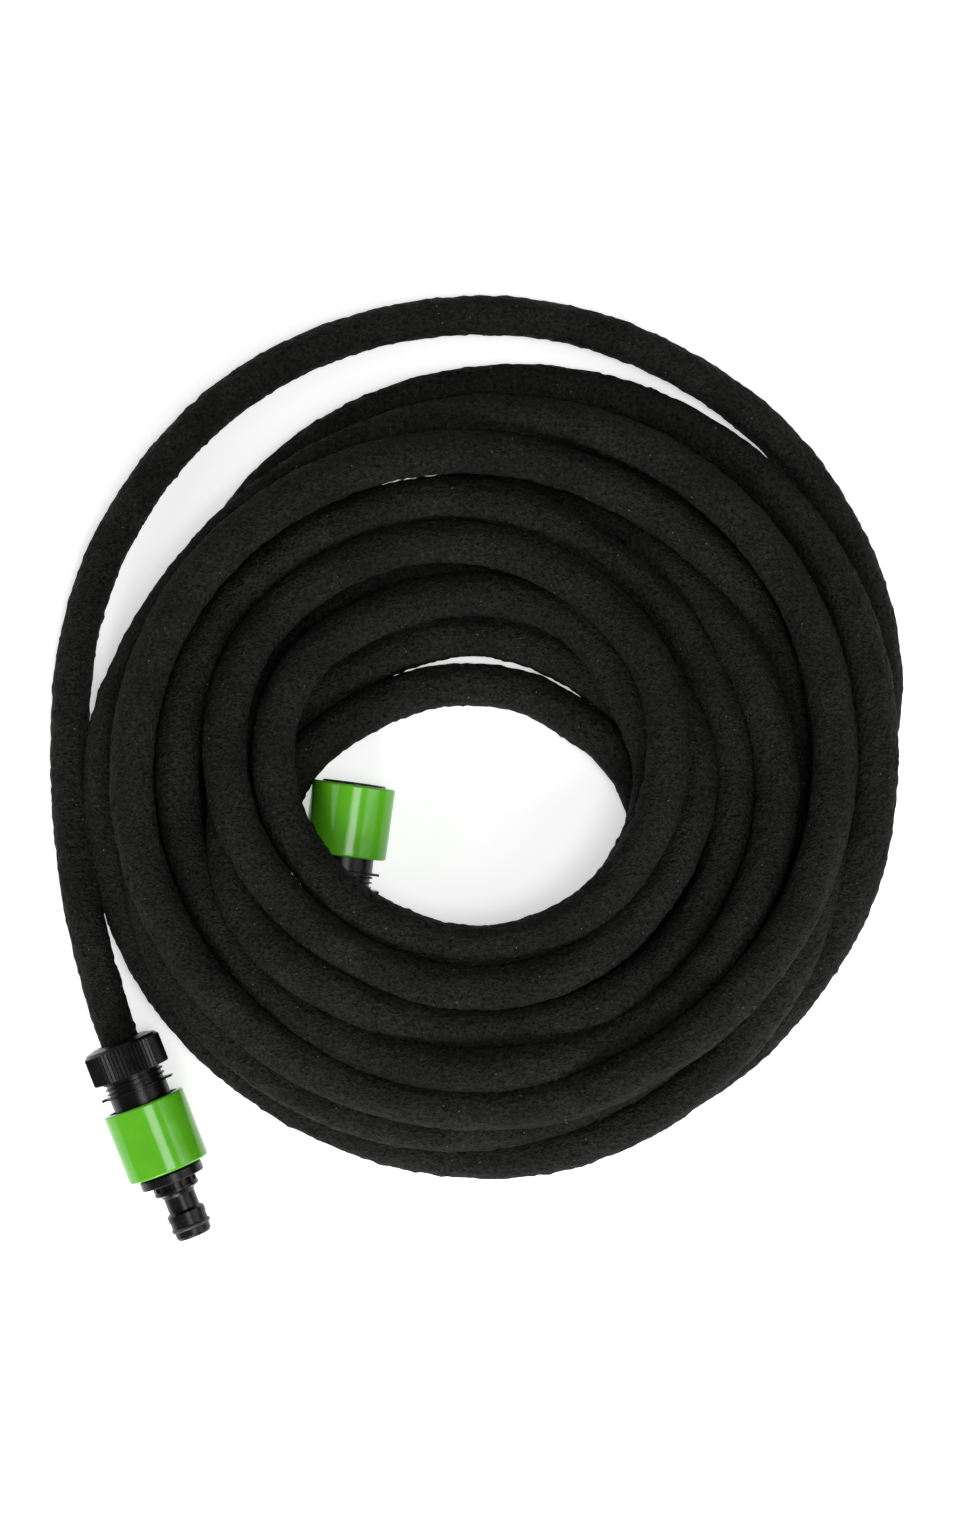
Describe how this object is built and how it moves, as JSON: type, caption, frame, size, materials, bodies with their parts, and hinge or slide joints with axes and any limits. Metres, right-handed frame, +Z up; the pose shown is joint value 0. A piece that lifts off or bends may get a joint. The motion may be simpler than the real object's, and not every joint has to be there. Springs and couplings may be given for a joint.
{
  "type": "soaker hose",
  "caption": "Coiled porous soaker hose with a push-fit quick connector on each end and a double male coupler plugged into one of them.",
  "frame": {"origin": "centre of the bounding box at floor level, under the coil", "axes": "+Z up from the floor, +Y across the coil towards the top of the free loop, +X to the right with the link connector at lower left"},
  "size_m": [0.3473, 0.3871, 0.05],
  "materials": {
    "porous_rubber": "matte, granular recycled rubber",
    "green_plastic": "gloss moulded",
    "black_plastic": "satin moulded",
    "spring_steel": "drawn wire",
    "seal_rubber": "smooth"
  },
  "bodies": {
    "hose": {"hose_coil": "porous_rubber", "hose_loop": "porous_rubber", "hose_tap_end": "porous_rubber", "link_connector_body": "black_plastic", "link_front_ring": "black_plastic", "link_sleeve_spring": "spring_steel", "tap_connector_body": "black_plastic", "tap_front_ring": "black_plastic", "tap_sleeve_spring": "spring_steel"},
    "link_grip_ring": {"link_grip_ring": "black_plastic"},
    "link_clamp_nut": {"link_clamp_nut": "black_plastic"},
    "link_sleeve": {"link_sleeve": "green_plastic"},
    "link_claw_1": {"link_claw_1": "black_plastic"},
    "link_claw_2": {"link_claw_2": "black_plastic"},
    "link_claw_3": {"link_claw_3": "black_plastic"},
    "tap_grip_ring": {"tap_grip_ring": "black_plastic"},
    "tap_clamp_nut": {"tap_clamp_nut": "black_plastic"},
    "tap_sleeve": {"tap_sleeve": "green_plastic"},
    "tap_claw_1": {"tap_claw_1": "black_plastic"},
    "tap_claw_2": {"tap_claw_2": "black_plastic"},
    "tap_claw_3": {"tap_claw_3": "black_plastic"},
    "coupler": {"coupler": "black_plastic", "coupler_inner_seal": "seal_rubber", "coupler_outer_seal": "seal_rubber"}
  },
  "joints": [
    {"name": "link_nut_turn", "type": "hinge", "parent": "link_grip_ring", "child": "link_clamp_nut", "pos_m": [-0.14345, -0.11872, 0.017], "axis": [0.3641, -0.9313, 0], "range_deg": [-720, 0]},
    {"name": "link_grip_ring_slide", "type": "slide", "parent": "hose", "child": "link_grip_ring", "axis": [0.3641, -0.9313, 0], "range_m": [-0.0041, 0]},
    {"name": "link_sleeve_slide", "type": "slide", "parent": "hose", "child": "link_sleeve", "axis": [0.3641, -0.9313, 0], "range_m": [-0.005, 0], "stiffness_N_per_m": 500, "springref_m": 0.006, "deforming": ["link_sleeve_spring"]},
    {"name": "link_claw_1_pivot", "type": "hinge", "parent": "hose", "child": "link_claw_1", "pos_m": [-0.12743, -0.1597, 0.0268], "axis": [0.9313, 0.3641, 0], "range_deg": [0, 15.1]},
    {"name": "link_claw_2_pivot", "type": "hinge", "parent": "hose", "child": "link_claw_2", "pos_m": [-0.13533, -0.16279, 0.0121], "axis": [-0.4657, -0.1821, 0.866], "range_deg": [0, 15.1]},
    {"name": "link_claw_3_pivot", "type": "hinge", "parent": "hose", "child": "link_claw_3", "pos_m": [-0.11952, -0.15661, 0.0121], "axis": [-0.4657, -0.1821, -0.866], "range_deg": [0, 15.1]},
    {"name": "tap_nut_turn", "type": "hinge", "parent": "tap_grip_ring", "child": "tap_clamp_nut", "pos_m": [-0.05675, -0.05606, 0.017], "axis": [0.1357, 0.9908, 0], "range_deg": [-720, 0]},
    {"name": "tap_grip_ring_slide", "type": "slide", "parent": "hose", "child": "tap_grip_ring", "axis": [0.1357, 0.9908, 0], "range_m": [-0.0041, 0]},
    {"name": "tap_sleeve_slide", "type": "slide", "parent": "hose", "child": "tap_sleeve", "axis": [0.1357, 0.9908, 0], "range_m": [-0.005, 0], "stiffness_N_per_m": 500, "springref_m": 0.006, "deforming": ["tap_sleeve_spring"]},
    {"name": "tap_claw_1_pivot", "type": "hinge", "parent": "hose", "child": "tap_claw_1", "pos_m": [-0.05078, -0.01247, 0.0268], "axis": [-0.9908, 0.1357, 0], "range_deg": [0, 15.1]},
    {"name": "tap_claw_2_pivot", "type": "hinge", "parent": "hose", "child": "tap_claw_2", "pos_m": [-0.04237, -0.01362, 0.0121], "axis": [0.4954, -0.0678, 0.866], "range_deg": [0, 15.1]},
    {"name": "tap_claw_3_pivot", "type": "hinge", "parent": "hose", "child": "tap_claw_3", "pos_m": [-0.05919, -0.01132, 0.0121], "axis": [0.4954, -0.0678, -0.866], "range_deg": [0, 15.1]},
    {"name": "coupler_turn", "type": "hinge", "parent": "hose", "child": "coupler", "pos_m": [-0.12455, -0.16706, 0.017], "axis": [0.3641, -0.9313, 0], "continuous": true}
  ],
  "couplings": [
    {"joint": "link_grip_ring_slide", "follows": "link_nut_turn", "m_per_rad": 0.00031831},
    {"joint": "link_claw_1_pivot", "follows": "link_sleeve_slide", "rad_per_m": -52.36},
    {"joint": "link_claw_2_pivot", "follows": "link_sleeve_slide", "rad_per_m": -52.36},
    {"joint": "link_claw_3_pivot", "follows": "link_sleeve_slide", "rad_per_m": -52.36},
    {"joint": "tap_grip_ring_slide", "follows": "tap_nut_turn", "m_per_rad": 0.00031831},
    {"joint": "tap_claw_1_pivot", "follows": "tap_sleeve_slide", "rad_per_m": -52.36},
    {"joint": "tap_claw_2_pivot", "follows": "tap_sleeve_slide", "rad_per_m": -52.36},
    {"joint": "tap_claw_3_pivot", "follows": "tap_sleeve_slide", "rad_per_m": -52.36}
  ]
}
